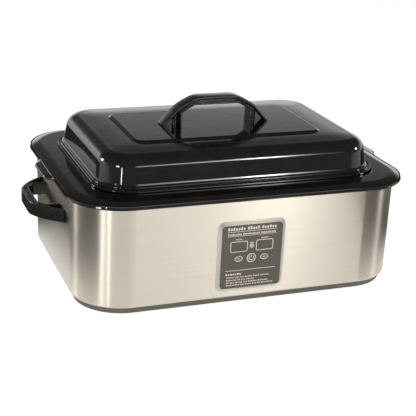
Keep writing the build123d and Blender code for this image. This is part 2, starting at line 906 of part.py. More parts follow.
def under_well(start, run_up, end_x):
    """From a back terminal down behind the well, forward below it and up to the terminal block."""
    x, y, z = start
    drop = y + run_up
    return make_wire([
        start,
        (x, drop, z),
        (x, drop, wire_level),
        (x, cross_back, wire_level),
        (end_x, cross_front, wire_level),
        (end_x, wire_row, wire_level),
        (end_x, wire_row, panel_z + lower_row - block_size[2] / 2),
    ], wire_bend)


def make_supply_wires():
    """Live and neutral, from the inlet's tails."""
    tail = back_face - inlet_depth - pin_tail
    level = inlet_level - pin_rise
    return compound("supply_wires", [
        under_well((side * pin_spread, tail, level), -wire_pitch, block_x + side * wire_pitch / 2)
        for side in (-1, 1)])


def make_heater_wires():
    """From the terminal block to the two ends of the heating band."""
    wires = []
    for side, (seat, direction) in zip((-1, 1), terminal_seats()):
        end = (seat[0], seat[1] + terminal_length, seat[2])
        wires.append(under_well(end, wire_pitch, block_x + side * wire_pitch * 3 / 2))
    return compound("heater_wires", wires)


def make_sensor_wire():
    """From the temperature sensor forward and up to its plug on the board."""
    level = well_floor - probe_radius - part_gap
    x = -probe_spread
    return make_wire([
        (x, -probe_length / 2, level),
        (x, -probe_length, level),
        (x, -2 * probe_length, wire_level),
        (sensor_x, cross_front, wire_level),
        (sensor_x, wire_row, wire_level),
        (sensor_x, wire_row, panel_z + lower_row - plug_size[2] / 2),
    ], wire_bend)


# ---- whole object ----

def make_parts():
    lid_washers, lid_screws = washer_stack("lid_handle", lid_screw_seats(), lid_sheet)
    side_washers, side_screws = washer_stack("side_handle", side_screw_seats(), casing_sheet)
    return {
        "outer_casing": make_outer_casing(),
        "base_panel": make_base_panel(),
        "base_screws": make_base_screws(),
        "rubber_feet": make_rubber_feet(),
        "foot_screws": make_foot_screws(),
        "heating_well": make_heating_well(),
        "heating_band": make_heating_band(),
        "band_terminals": make_band_terminals(),
        "insulation_blanket": make_insulation_blanket(),
        "heat_shield": make_heat_shield(),
        "insert_pan": make_insert_pan(),
        "lid": make_lid(),
        "lid_handle": make_lid_handle(),
        "lid_handle_screws": lid_screws,
        "lid_handle_washers": lid_washers,
        "left_handle": make_side_handle(-1),
        "right_handle": make_side_handle(1),
        "side_handle_screws": side_screws,
        "side_handle_washers": side_washers,
        "panel_bezel": make_panel_bezel(),
        "panel_overlay": make_panel_overlay(),
        "left_display_window": make_display_window(-display_spread),
        "right_display_window": make_display_window(display_spread),
        "left_display_module": make_display_module(-display_spread),
        "right_display_module": make_display_module(display_spread),
        "heat_indicator": make_heat_indicator(),
        "minus_button": make_button(-display_spread, oval),
        "power_button": make_button(0, disc),
        "plus_button": make_button(display_spread, oval),
        "tactile_switches": make_tactile_switches(),
        "control_housing": make_control_housing(),
        "control_board": make_control_board(),
        "board_screws": make_board_screws(),
        "board_relay": board_part(relay_size, sensor_x - panel_x, upper_row),
        "board_transformer": board_part(transformer_size, block_x - panel_x, upper_row),
        "sensor_plug": board_part(plug_size, sensor_x - panel_x, lower_row),
        "terminal_block": board_part(block_size, block_x - panel_x, lower_row),
        "temperature_sensor": probe_on_floor(-1),
        "sensor_clip": probe_clip(-1),
        "thermal_fuse": probe_on_floor(1),
        "fuse_clip": probe_clip(1),
        "power_inlet": make_power_inlet(),
        "inlet_pins": make_inlet_pins(),
        "inlet_screws": make_inlet_screws(),
        "supply_wires": make_supply_wires(),
        "heater_wires": make_heater_wires(),
        "sensor_wire": make_sensor_wire(),
    }


os.makedirs("parts", exist_ok=True)
for node, solid in make_parts().items():
    export_step(solid, f"parts/{node}.step")
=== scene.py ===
# %% [markdown]
# # A hot stone heater, dressed for a studio picture
# The heater is a stainless casing with an enamelled pan hung in it, a domed enamel lid on
# top, three black strap handles and a small control panel in front.
# Its measured model comes first and never moves. Everything made here is fitted on it.

# %% Load the measured model
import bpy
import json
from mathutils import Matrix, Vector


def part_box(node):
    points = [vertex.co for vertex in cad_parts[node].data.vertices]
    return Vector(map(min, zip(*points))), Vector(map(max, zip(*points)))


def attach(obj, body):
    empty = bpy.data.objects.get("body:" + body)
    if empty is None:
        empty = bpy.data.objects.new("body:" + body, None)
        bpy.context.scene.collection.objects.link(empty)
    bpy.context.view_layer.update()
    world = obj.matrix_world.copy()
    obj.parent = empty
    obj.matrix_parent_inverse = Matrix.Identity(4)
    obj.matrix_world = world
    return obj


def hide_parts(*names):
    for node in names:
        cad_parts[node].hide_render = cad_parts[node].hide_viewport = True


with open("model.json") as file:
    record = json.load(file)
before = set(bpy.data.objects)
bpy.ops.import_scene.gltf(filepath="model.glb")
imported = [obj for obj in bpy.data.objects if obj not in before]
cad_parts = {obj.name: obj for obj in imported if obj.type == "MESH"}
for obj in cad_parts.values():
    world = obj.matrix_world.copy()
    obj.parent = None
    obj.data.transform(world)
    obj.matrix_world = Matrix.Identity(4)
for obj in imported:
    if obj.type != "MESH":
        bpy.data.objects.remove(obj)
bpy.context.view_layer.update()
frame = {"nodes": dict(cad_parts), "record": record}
print("pieces in the measured model:", len(frame["nodes"]))

# %% Tools used all through
import json
import math
import bmesh
import bpy
from mathutils import Matrix, Vector

scene = bpy.context.scene
nodes = frame["nodes"]
MM = 0.001
print("one unit is one metre, so a millimetre is", MM)

# %% [markdown]
# ## Where each piece sits
# A new piece takes its place from the box of the piece it covers, so that it fits without
# any moving about afterwards. A small helper gives such a box in millimetres.

# %% Boxes in millimetres
def box_mm(name):
    """Lowest and highest corner of a measured piece, in millimetres."""
    low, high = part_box(name)
    return [v / MM for v in low], [v / MM for v in high]


for name in ("outer_casing", "insert_pan", "lid", "panel_bezel"):
    print(name, [round(v, 1) for corner in box_mm(name) for v in corner])

# %% [markdown]
# ## Rounded outlines
# Casing, pan, lid and base are all pressed sheet that runs round a rectangle with round
# corners. One could bevel a box, but then every corner bends the reflections a little.
# It is steadier to place the points ourselves: some along each side, more in each corner,
# and with each point the exact direction that faces outward there.

# %% Stations round a rounded rectangle
CORNER_STEPS = 22


def stations(along_sides, along_ends):
    """Each station is a corner, an angle, and how far along the side that follows it."""
    found = []
    for corner in range(4):
        for step in range(CORNER_STEPS + 1):
            found.append((corner, (corner + step / CORNER_STEPS) * math.pi / 2, 0.0))
        steps = along_ends if corner in (1, 3) else along_sides
        for step in range(1, steps):
            found.append((corner, (corner + 1) * math.pi / 2, step / steps))
    return found


CORNER_SIGNS = ((1, 1), (-1, 1), (-1, -1), (1, -1))
PLAIN = stations(10, 8)


def place(shape, station):
    """Point on a rounded rectangle at a station, with the outward direction there."""
    half_x, half_y, corner = shape
    number, angle, along = station
    out = (math.cos(angle), math.sin(angle))

    def arc_end(index):
        sign_x, sign_y = CORNER_SIGNS[index]
        return sign_x * (half_x - corner) + corner * out[0], sign_y * (half_y - corner) + corner * out[1]

    x, y = arc_end(number)
    if along:
        next_x, next_y = arc_end((number + 1) % 4)
        x, y = x + (next_x - x) * along, y + (next_y - y) * along
    return x, y, out


print("stations round a plain outline:", len(PLAIN))

# %% [markdown]
# ## The bent section of a sheet
# A sheet piece is a line with rounded bends, given a thickness. The same few numbers that
# a press tool maker would use describe it: the corners of the line and a radius for each
# bend. Each point of the line also carries the direction square to the sheet, because the
# gloss of enamel shows a shading mistake of one degree.

# %% A line with rounded bends
BEND_STEP = math.radians(7)


def bent_line(points, bends):
    """Points along a line with rounded bends, each with the direction to its left."""
    line = []

    def add(point, direction):
        line.append((point, Vector((-direction.y, direction.x))))

    points = [Vector(p) for p in points]
    start = (points[1] - points[0]).normalized()
    add(points[0], start)
    for before, middle, after, radius in zip(points, points[1:], points[2:], bends):
        way_in, way_out = (middle - before).normalized(), (after - middle).normalized()
        turn = way_in.angle_signed(way_out)
        reach = radius * math.tan(abs(turn) / 2)
        side = -1 if turn > 0 else 1
        first = middle - way_in * reach
        centre = first + Vector((-way_in.y, way_in.x)) * radius * side
        steps = max(2, math.ceil(abs(turn) / BEND_STEP))
        for step in range(steps + 1):
            spin = -turn * step / steps
            arm = first - centre
            arm = Vector((arm.x * math.cos(spin) - arm.y * math.sin(spin),
                          arm.x * math.sin(spin) + arm.y * math.cos(spin)))
            way = Vector((way_in.x * math.cos(spin) - way_in.y * math.sin(spin),
                          way_in.x * math.sin(spin) + way_in.y * math.cos(spin)))
            add(centre + arm, way)
    add(points[-1], (points[-1] - points[-2]).normalized())
    return line


def half_round(centre, start, turn):
    """Directions round a sheet's edge, from one face to the other."""
    spins = [turn * math.pi * step / 4 for step in (1, 2, 3)]
    return [(centre, Vector((start.x * math.cos(spin) - start.y * math.sin(spin),
                             start.x * math.sin(spin) + start.y * math.cos(spin)))) for spin in spins]


print("bend steps of", round(math.degrees(BEND_STEP)), "degrees")

# %% [markdown]
# ## Rings that make a shell
# A loop round the outline at each point of the section gives a stack of rings, and faces
# between them give the shell. Shading is usually guessed from the faces; here each point is
# told which way it faces, so that a bend shades as smoothly as polished sheet.

# %% Rings
class Ring:
    """One loop of a shell: its outline, its height and the way its surface faces there.
    share says how far it follows where the sheet is drawn out; None leaves that to its height."""
    share = None

    def __init__(self, half_x, half_y, corner, z, out, up):
        self.shape = (half_x, half_y, corner)
        self.z = z
        self.out = out
        self.up = up


def sheet_rings(base, line, thickness, closed):
    """Rings over both faces of a bent sheet. A closed one has two rounded edges. An open one
    has its rounded edge at the line's start, and goes on into a floor or a top at its end."""
    left = [(point, way) for point, way in line]
    right = [(point, -way) for point, way in line]
    if closed:
        skin = left + half_round(line[-1][0], line[-1][1], -1) + right[::-1]
        skin += half_round(line[0][0], -line[0][1], -1)
    else:
        skin = left[::-1] + half_round(line[0][0], line[0][1], 1) + right
    rings = []
    for point, way in skin:
        spot = point + way * thickness / 2
        rings.append(Ring(base[0] + spot.x, base[1] + spot.x, base[2] + spot.x, spot.y, way.x, way.y))
    return rings


def placed(name, mesh):
    """Put a mesh in the scene as a piece."""
    piece = bpy.data.objects.new(name, mesh)
    scene.collection.objects.link(piece)
    return piece


def built(name, build, smooth=False):
    """Turn a build of points and faces into a piece in the scene."""
    mesh = bpy.data.meshes.new(name)
    build.to_mesh(mesh)
    mesh.polygons.foreach_set("use_smooth", [smooth] * len(mesh.polygons))
    return placed(name, mesh)


def shell_mesh(name, rings, closed, caps=(), around=PLAIN, push=None):
    """A mesh over rings, with exact shading, and a map of lengths round and across the sheet.
    push moves a point where the sheet was drawn out, as at an ear."""
    spots, facings, drawn_away = [], [], []
    for ring in rings:
        for station in around:
            x, y, out = place(ring.shape, station)
            spot = Vector((x, y, ring.z))
            if push:
                spot = push(ring, spot, out)
            drawn_away.append((spot - Vector((x, y, ring.z))).length > 0.001)
            spots.append(spot * MM)
            facings.append(Vector((out[0] * ring.out, out[1] * ring.out, ring.up)).normalized())
    count = len(around)
    faces = []
    for row in range(len(rings) if closed else len(rings) - 1):
        a, b = row * count, ((row + 1) % len(rings)) * count
        faces += [(a + col, a + (col + 1) % count, b + (col + 1) % count, b + col) for col in range(count)]
    first = faces[0]
    square = (spots[first[1]] - spots[first[0]]).cross(spots[first[3]] - spots[first[0]])
    if square.dot(facings[first[0]]) < 0:
        faces = [face[::-1] for face in faces]
    for row in (index % len(rings) for index in caps):
        cap = tuple(range(row * count, (row + 1) * count))
        faces.append(cap if rings[row].up > 0 else cap[::-1])
    mesh = bpy.data.meshes.new(name)
    mesh.from_pydata(spots, [], faces)
    mesh.polygons.foreach_set("use_smooth", [True] * len(faces))
    round_lengths = [0.0]
    for col in range(count):
        round_lengths.append(round_lengths[-1] + (spots[(col + 1) % count] - spots[col]).length)
    across = [0.0]
    for row in range(len(rings)):
        across.append(across[-1] + (spots[((row + 1) % len(rings)) * count] - spots[row * count]).length)
    lengths = mesh.uv_layers.new(name="lengths").data
    guessed = [corner.vector.copy() for corner in mesh.corner_normals]
    shading = []
    for polygon in mesh.polygons:
        corners = [(i, *divmod(mesh.loops[i].vertex_index, count)) for i in polygon.loop_indices]
        lapped_col = len(corners) == 4 and {0, count - 1} <= {col for i, row, col in corners}
        lapped_row = closed and {0, len(rings) - 1} <= {row for i, row, col in corners}
        for i, row, col in corners:
            u = round_lengths[count] if lapped_col and col == 0 else round_lengths[col]
            v = across[len(rings)] if lapped_row and row == 0 else across[row]
            lengths[i].uv = (u, v)
            spot = mesh.loops[i].vertex_index
            shading.append(guessed[i] if drawn_away[spot] else facings[spot])
    mesh.normals_split_custom_set(shading)
    print(name, "has", len(mesh.vertices), "points and", len(mesh.polygons), "faces")
    return placed(name, mesh)


print("a shell's shading is set from its section, not guessed from its faces")

# %% [markdown]
# ## Finishes
# Each finish is a material made of nodes. The colour, roughness and a fine bump vary a
# little from place to place, at the size that the real finish shows. One helper starts a
# material, and small helpers add a layer of noise where a finish needs it.

# %% Start of a finish
def new_finish(name, **sockets):
    """A material with its main shader's sockets set."""
    material = bpy.data.materials.new(name)
    material.use_nodes = True
    shader = material.node_tree.nodes["Principled BSDF"]
    for socket, value in sockets.items():
        socket = socket.replace("_", " ")
        if isinstance(value, tuple):
            value = (*value, 1)
        shader.inputs[socket].default_value = value
    return material, shader


def noise(material, scale, stretch=(1, 1, 1), detail=3.0, roughness=0.5):
    """Noise at a scale per metre, in the object's own place, stretched if asked."""
    tree = material.node_tree
    where = tree.nodes.new("ShaderNodeTexCoord")
    mapping = tree.nodes.new("ShaderNodeMapping")
    mapping.inputs["Scale"].default_value = stretch
    texture = tree.nodes.new("ShaderNodeTexNoise")
    texture.inputs["Scale"].default_value = scale
    texture.inputs["Detail"].default_value = detail
    texture.inputs["Roughness"].default_value = roughness
    tree.links.new(where.outputs["Object"], mapping.inputs["Vector"])
    tree.links.new(mapping.outputs["Vector"], texture.inputs["Vector"])
    return texture.outputs["Fac"]


def ramp_in(tree, value, stops):
    """Colours, or greys, along a value from 0 to 1."""
    node = tree.nodes.new("ShaderNodeValToRGB")
    while len(node.color_ramp.elements) < len(stops):
        node.color_ramp.elements.new(0.5)
    for element, (position, colour) in zip(node.color_ramp.elements, stops):
        element.position = position
        element.color = (*colour, 1) if isinstance(colour, tuple) else (colour, colour, colour, 1)
    tree.links.new(value, node.inputs["Fac"])
    return node.outputs["Color"]


def ramp(material, value, stops):
    return ramp_in(material.node_tree, value, stops)


def bump(material, shader, height, distance_mm, strength=1.0):
    """A fine relief on a finish, its height in millimetres."""
    node = material.node_tree.nodes.new("ShaderNodeBump")
    node.inputs["Strength"].default_value = strength
    node.inputs["Distance"].default_value = distance_mm * MM
    material.node_tree.links.new(height, node.inputs["Height"])
    material.node_tree.links.new(node.outputs["Normal"], shader.inputs["Normal"])
    return node


def drive(material, shader, socket, value):
    """Lets a value that varies over the surface set one socket."""
    material.node_tree.links.new(value, shader.inputs[socket])


print("finish helpers ready")

# %% [markdown]
# ## Brushed stainless
# The casing is wrapped from a long strip that was brushed along its length, so the fine
# lines run level, right round the heater. Lines that run level spread each reflection up
# and down and leave it crisp from side to side, which is why every lamp shows as an
# upright streak. An anisotropic shader does that, given the direction of the lines: on an
# upright wall the direction round the Z axis is always level.

# %% Brushed stainless
def brushed_stainless():
    material, shader = new_finish("brushed_stainless", Metallic=1.0, Anisotropic=0.98,
                                  Anisotropic_Rotation=0.25)
    tree = material.node_tree
    lines = noise(material, 1.0, (9, 9, 5200), 2.0)
    broad = noise(material, 1.0, (3, 3, 700), 3.0)
    hands = noise(material, 7.0, (1, 1, 1), 4.0, 0.6)
    drive(material, shader, "Base Color",
          ramp(material, lines, [(0.25, (0.545, 0.505, 0.435)), (0.75, (0.615, 0.572, 0.496))]))
    blend = tree.nodes.new("ShaderNodeMix")
    blend.inputs["Factor"].default_value = 0.35
    tree.links.new(broad, blend.inputs["A"])
    tree.links.new(hands, blend.inputs["B"])
    drive(material, shader, "Roughness", ramp(material, blend.outputs["Result"], [(0.3, 0.29), (0.7, 0.34)]))
    bump(material, shader, lines, 0.004)
    around_z = tree.nodes.new("ShaderNodeTangent")
    around_z.direction_type = "RADIAL"
    around_z.axis = "Z"
    tree.links.new(around_z.outputs["Tangent"], shader.inputs["Tangent"])
    return material


STAINLESS = brushed_stainless()
print("finish:", STAINLESS.name)

# %% [markdown]
# ## Black enamel
# Pan and lid are steel with a fired coat of black glass. The glass is nearly a mirror, but
# it pooled a little while it ran, so its reflections waver. A slow, shallow relief gives
# the waver, a finer one the slight orange peel, and dust leaves patches a touch duller.

# %% Black enamel
def black_enamel():
    material, shader = new_finish("black_enamel", IOR=1.52)
    tree = material.node_tree
    pools = noise(material, 60.0, detail=2.0)
    peel = noise(material, 420.0, detail=2.0)
    dust = noise(material, 26.0, detail=5.0, roughness=0.65)
    drive(material, shader, "Base Color",
          ramp(material, dust, [(0.35, (0.0075, 0.0072, 0.0066)), (0.8, (0.013, 0.0125, 0.0115))]))
    drive(material, shader, "Roughness", ramp(material, dust, [(0.3, 0.045), (0.75, 0.11)]))
    relief = tree.nodes.new("ShaderNodeMix")
    relief.inputs["Factor"].default_value = 0.12
    tree.links.new(pools, relief.inputs["A"])
    tree.links.new(peel, relief.inputs["B"])
    bump(material, shader, relief.outputs["Result"], 0.05)
    return material


ENAMEL = black_enamel()
print("finish:", ENAMEL.name)

# %% [markdown]
# ## Moulded plastics, rubber and paint
# These differ mostly in how rough they are. A moulding has a fine grain from its tool,
# paint has a slight orange peel, and rubber has a dull bloom in patches.

# %% Plastics, rubber and paint
def moulded(name, colour, rough, grain_mm=0.01, grain_scale=900.0, metallic=0.0, lift=1.35):
    """A moulded or painted finish with grain, and patches a little duller and paler."""
    material, shader = new_finish(name, Metallic=metallic)
    patches = noise(material, 38.0, detail=4.0, roughness=0.6)
    grain = noise(material, grain_scale, detail=2.0)
    pale = tuple(min(1.0, c * lift) for c in colour)
    drive(material, shader, "Base Color", ramp(material, patches, [(0.3, colour), (0.8, pale)]))
    drive(material, shader, "Roughness",
          ramp(material, patches, [(0.3, rough), (0.75, min(1.0, rough + 0.1))]))
    bump(material, shader, grain, grain_mm)
    return material


PLASTICS = {
    "handle_plastic": moulded("handle_plastic", (0.011, 0.0108, 0.0102), 0.2, 0.006),
    "base_paint": moulded("base_paint", (0.074, 0.070, 0.057), 0.5, 0.02, 500.0),
    "foot_rubber": moulded("foot_rubber", (0.022, 0.021, 0.02), 0.75, 0.03, 700.0),
    "overlay_grey": moulded("overlay_grey", (0.066, 0.061, 0.047), 0.46, 0.006, 1500.0, lift=1.1),
    "button_grey": moulded("button_grey", (0.078, 0.073, 0.058), 0.42, 0.006, 1500.0, lift=1.1),
    "housing_plastic": moulded("housing_plastic", (0.55, 0.53, 0.47), 0.5),
    "inlet_plastic": moulded("inlet_plastic", (0.018, 0.018, 0.018), 0.45, 0.015),
    "display_module": moulded("display_module", (0.03, 0.03, 0.03), 0.5),
    "display_lens": moulded("display_lens", (0.06, 0.048, 0.037), 0.16, 0.002),
    "indicator_lens": moulded("indicator_lens", (0.42, 0.36, 0.29), 0.12, 0.002),
    "transformer_core": moulded("transformer_core", (0.45, 0.27, 0.04), 0.4),
    "circuit_board": moulded("circuit_board", (0.012, 0.10, 0.035), 0.4, 0.01, 1200.0),
    "wire_cover": moulded("wire_cover", (0.22, 0.02, 0.015), 0.5),
    "sensor_cover": moulded("sensor_cover", (0.68, 0.67, 0.62), 0.5),
    "panel_print": moulded("panel_print", (0.62, 0.56, 0.47), 0.5, 0.004, 2400.0, lift=1.12),
}
print("finishes:", ", ".join(PLASTICS))

# %% [markdown]
# ## Bare metals
# Zinc plated screws, the aluminised well, the heat-tinted band and the satin bezel are all
# bare metal. Rolled or drawn metal keeps faint lines; cast or plated metal only patches.

# %% Bare metals
def bare_metal(name, colour, rough, stretch=(1, 1, 1), scale=200.0, tint=None, relief_mm=0.004):
    """A metal with patches or lines, from its colour to a second, tinted one."""
    material, shader = new_finish(name, Metallic=1.0)
    marks = noise(material, scale, stretch, 4.0)
    patches = noise(material, 24.0, detail=4.0)
    other = tint or tuple(min(1.0, c * 1.15) for c in colour)
    drive(material, shader, "Base Color", ramp(material, patches, [(0.3, colour), (0.75, other)]))
    drive(material, shader, "Roughness", ramp(material, marks, [(0.3, rough), (0.7, rough + 0.1)]))
    bump(material, shader, marks, relief_mm)
    return material


METALS = {
    "bezel_silver": bare_metal("bezel_silver", (0.56, 0.54, 0.495), 0.36, relief_mm=0.0005),
    "screw_steel": bare_metal("screw_steel", (0.52, 0.51, 0.49), 0.28),
    "well_steel": bare_metal("well_steel", (0.55, 0.55, 0.54), 0.34, (1, 1, 6), 300.0, relief_mm=0.01),
    "heater_steel": bare_metal("heater_steel", (0.26, 0.22, 0.18), 0.4, (1, 1, 30), 90.0, (0.34, 0.25, 0.15)),
    "capsule_steel": bare_metal("capsule_steel", (0.5, 0.49, 0.47), 0.3, (1, 12, 12), 100.0),
    "pin_brass": bare_metal("pin_brass", (0.60, 0.55, 0.45), 0.25),
}
print("metals:", ", ".join(METALS))

# %% [markdown]
# ## Glass wool
# The blanket is matted fibre with no gloss at all. A fine, stretched noise reads as fibre,
# and a coarse one as the tufts it was pressed from.

# %% Glass wool
def glass_wool():
    material, shader = new_finish("glass_wool", Roughness=0.95, Sheen_Weight=0.3)
    fibre = noise(material, 260.0, (1, 6, 1), 6.0, 0.7)
    tufts = noise(material, 45.0, detail=4.0)
    drive(material, shader, "Base Color",
          ramp(material, tufts, [(0.3, (0.62, 0.50, 0.24)), (0.7, (0.80, 0.72, 0.46))]))
    bump(material, shader, fibre, 0.8)
    return material


FINISHES = {"brushed_stainless": STAINLESS, "black_enamel": ENAMEL, "glass_wool": glass_wool(),
            **PLASTICS, **METALS}
print("finishes in all:", len(FINISHES))

# %% [markdown]
# ## A finish for every measured piece
# The record names a finish for each piece, so the pieces can be dressed in one pass.

# %% Dress the measured pieces
for part in frame["record"]["subparts"]:
    piece = nodes[part["node"]]
    for slot in piece.material_slots:
        slot.material = FINISHES[part["material_slot"]]

# %% [markdown]
# ## The pan: rim, tub and ears
# One sheet makes the whole pan. It starts at the rim's rolled edge, comes up over a soft
# shoulder, runs level under the lid, and drops into the tub. The two ears are drawn out of
# the rim itself, so they are not added as plates: near each end the points of the rim's
# lower edge are pushed outward, most in the middle, and flow back into the rim.

# %% Outline and section of the pan
low, high = box_mm("insert_pan")
PAN_TOP = high[2]
PAN_EDGE = 170.9
RIM = (270.8, 197.3, 84.0)
PAN_SHEET = 1.2
EAR_REACH = high[0] - RIM[0]
EAR_TOP = 176.5
EAR_FLAT = 25.0
EAR_ROOT = 53.0
EAR_SOFTNESS = 1.6
RIM_SHOULDER = 3.4
RIM_FACE_INSET = 1.2
TUB_INSET = 47.8

middle = PAN_TOP - PAN_SHEET / 2
face = -RIM_FACE_INSET - PAN_SHEET / 2
tub_wall = -TUB_INSET - PAN_SHEET / 2
tub_floor = low[2] + PAN_SHEET / 2
pan_line = bent_line(
    [(face + 1.1, PAN_EDGE + 0.8), (face, PAN_EDGE + 4.6), (face, middle - RIM_SHOULDER - 0.9),
     (face - 11.2, middle), (tub_wall, middle), (tub_wall - 6.0, tub_floor), (tub_wall - 24.0, tub_floor)],
    [9.0, 4.6, 34.0, 4.0, 16.0])
pan_rings = sheet_rings(RIM, pan_line, PAN_SHEET, closed=False)
print("the ears reach", round(EAR_REACH, 1), "mm past the rim; rings in the pan:", len(pan_rings))

# %% [markdown]
# ### Drawing out the ears
# A press draws an ear by pulling the sheet outward, so no piece is added. The same is done
# here with a push that is full in the middle of an end, fades along the rim, and only takes
# hold below the rim's shoulder.

# %% Draw the ears out of the rim
def smooth(value):
    """A soft start and a soft stop between 0 and 1."""
    value = max(0.0, min(1.0, value))
    return value * value * (3 - 2 * value)


def drawn_out(ring, spot, out):
    """Push the rim's lower edge outward near the middle of each end."""
    if abs(out[0]) < 0.999 or ring.shape[0] < RIM[0] - 16:
        return spot
    reach = EAR_REACH * (1 - smooth((abs(spot.y) - EAR_FLAT) / (EAR_ROOT - EAR_FLAT)))
    share = ring.share
    if share is None:
        share = smooth((EAR_TOP - ring.z) / EAR_SOFTNESS)
    lift = (EAR_TOP - 0.5 - spot.z) * share * 0.85 * reach / EAR_REACH if spot.z > 174 else 0.0
    return Vector((spot.x + out[0] * reach * share, spot.y, spot.z + lift))


PAN_STATIONS = stations(10, 72)
pan = shell_mesh("pan_shell", pan_rings, False, (0, -1), PAN_STATIONS, drawn_out)
pan.data.materials.append(ENAMEL)
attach(pan, "insert_pan")
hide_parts("insert_pan")

# %% [markdown]
# ## The rolled edge of the rim
# The sheet's edge is curled into a small bead, for stiffness and so that it cannot cut. It
# follows the rim and the ears, so it takes the same push.

# %% The rolled edge
def bead_rings(base, centre, radius, steps=12):
    """A round bead that runs round an outline."""
    rings = []
    for step in range(steps):
        turn = 2 * math.pi * step / steps
        out, up = math.cos(turn), math.sin(turn)
        x, z = centre[0] + out * radius, centre[1] + up * radius
        rings.append(Ring(base[0] + x, base[1] + x, base[2] + x, z, out, up))
    return rings


BEAD_RADIUS = 1.15
edge = bead_rings(RIM, (-BEAD_RADIUS, PAN_EDGE + BEAD_RADIUS), BEAD_RADIUS)
for ring in edge:
    ring.share = 1.0
rolled_edge = shell_mesh("pan_rolled_edge", edge, True, (), PAN_STATIONS, drawn_out)
rolled_edge.data.materials.append(ENAMEL)
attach(rolled_edge, "insert_pan")

# %% [markdown]
# ## The lid
# From its edge the lid's sheet runs a little way level, steps up over a bead and a groove
# that stiffen it, leans in up the wall and turns over a broad shoulder. Its top is not
# flat: it crowns gently up to a raised panel in the middle, which carries the handle.
# The panel's outline is squarer than the lid's, so the rings change shape on the way.

# %% Section of the lid, edge to shoulder
low, high = box_mm("lid")
LID = (high[0], high[1], 63.0)
LID_SHEET = 1.2
LID_LOW = low[2] + LID_SHEET / 2
SHELF = 229.7
LID_INNER = -35.6
lid_line = bent_line(
    [(-0.6, LID_LOW + 1.9), (-0.6, LID_LOW), (-4.9, LID_LOW), (-7.1, LID_LOW + 2.2), (-7.1, LID_LOW + 5.5),
     (-9.5, LID_LOW + 7.7), (-10.3, LID_LOW + 9.9), (-17.6, SHELF), (LID_INNER, SHELF + 0.5)],
    [0.8, 1.5, 1.0, 1.2, 1.0, 1.0, 20.0])
lid_rings = sheet_rings(LID, lid_line, LID_SHEET, closed=False)
print("lid rings up to the shoulder:", len(lid_rings))

# %% [markdown]
# ### Crown and raised panel
# Above the shoulder the lid is not a bent line any more, because its outline changes from
# the lid's to the panel's. So these rings are mixed from both outlines, and each ring's
# facing is measured from the ring before it and the ring after it.

# %% Crown and raised panel
PANEL_HALF = (155.0, 83.0, 20.0)
PANEL_TOP = high[2]
CROWN_EDGE = SHELF + 0.5 + LID_SHEET / 2
PANEL_STEP = 3.1
PANEL_SLOPE = 5.4
CROWN_TOP = PANEL_TOP - PANEL_STEP


def crown_profile():
    """How far in from the shoulder, as a share and in mm past the panel's edge, and how high."""
    profile = []
    for step in range(1, 13):
        share = step / 12
        rise = CROWN_EDGE + (CROWN_TOP - CROWN_EDGE) * math.sin(share * math.pi / 2)
        profile.append((share, 0.0, rise))
    for step in range(1, 17):
        share = step / 16
        profile.append((1.0, PANEL_SLOPE * share, CROWN_TOP + (PANEL_TOP - CROWN_TOP) * smooth(share)))
    profile += [(1.0, PANEL_SLOPE + 1.0, PANEL_TOP), (1.0, 9.0, PANEL_TOP)]
    return profile


def crown_rings(below):
    """Rings from the shoulder to the panel's middle, on top or one sheet lower."""
    start = [size + LID_INNER for size in LID]
    shapes = []
    for share, inward, rise in crown_profile():
        foot = [a + (b - a) * share for a, b in zip(start, PANEL_HALF)]
        corner = max(3.0, foot[2] - inward)
        shapes.append(((foot[0] - inward, foot[1] - inward, corner), rise))
    rings = []
    for number, (shape, rise) in enumerate(shapes):
        before, after = shapes[max(0, number - 1)], shapes[min(len(shapes) - 1, number + 1)]
        run, climb = before[0][1] - after[0][1], after[1] - before[1]
        length = math.hypot(run, climb)
        side = -1 if below else 1
        drop = LID_SHEET if below else 0
        rings.append(Ring(*shape, rise - drop, side * climb / length, side * run / length))
    return rings


all_lid_rings = crown_rings(True)[::-1] + lid_rings + crown_rings(False)
lid = shell_mesh("lid_shell", all_lid_rings, False, (0, -1))
lid.data.materials.append(ENAMEL)
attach(lid, "lid")
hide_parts("lid")

# %% [markdown]
# ## Pips on the raised panel
# On each side of the handle a small pip shows where the lid was held while it was fired.
# Each is a low dome spun from a short curve.

# %% Pips
def spun(name, profile, centre, steps=32):
    """A shape turned round an upright axis, from (radius, height) points in millimetres."""
    build = bmesh.new()
    rows = []
    for radius, height in profile:
        if radius == 0:
            rows.append([build.verts.new((0, 0, height * MM))])
            continue
        rows.append([build.verts.new((radius * MM * math.cos(2 * math.pi * s / steps),
                                      radius * MM * math.sin(2 * math.pi * s / steps), height * MM))
                     for s in range(steps)])
    for one, two in zip(rows, rows[1:]):
        for s in range(steps):
            t = (s + 1) % steps
            corners = [one[s % len(one)], one[t % len(one)], two[t % len(two)], two[s % len(two)]]
            build.faces.new(list(dict.fromkeys(corners)))
    bmesh.ops.recalc_face_normals(build, faces=build.faces)
    piece = built(name, build, smooth=True)
    piece.location = Vector(centre) * MM
    return piece


PIP_OUT = 133.0
PIP_BACK = 4.0
pip_profile = [(2.6, -0.4), (2.3, 0.02), (1.8, 0.22), (1.2, 0.4), (0.6, 0.49), (0.0, 0.52)]
for side, name in ((-1, "lid_pip_left"), (1, "lid_pip_right")):
    pip = spun(name, pip_profile, (side * PIP_OUT, PIP_BACK, PANEL_TOP - 0.02))
    pip.data.materials.append(ENAMEL)
    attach(pip, "lid")
print("pips stand", pip_profile[-1][1], "mm proud")

# %% [markdown]
# ## Strap handles
# Each handle is one moulding with the shape of a strap bent over: an outer band that sweeps
# from foot to foot, an inner band round the finger opening, a slanted core between them and
# a thin web in each foot, where the screw boss stands. Bending one rounded section along a
# line makes a band without facets, so the light runs along it as it does on a moulding.

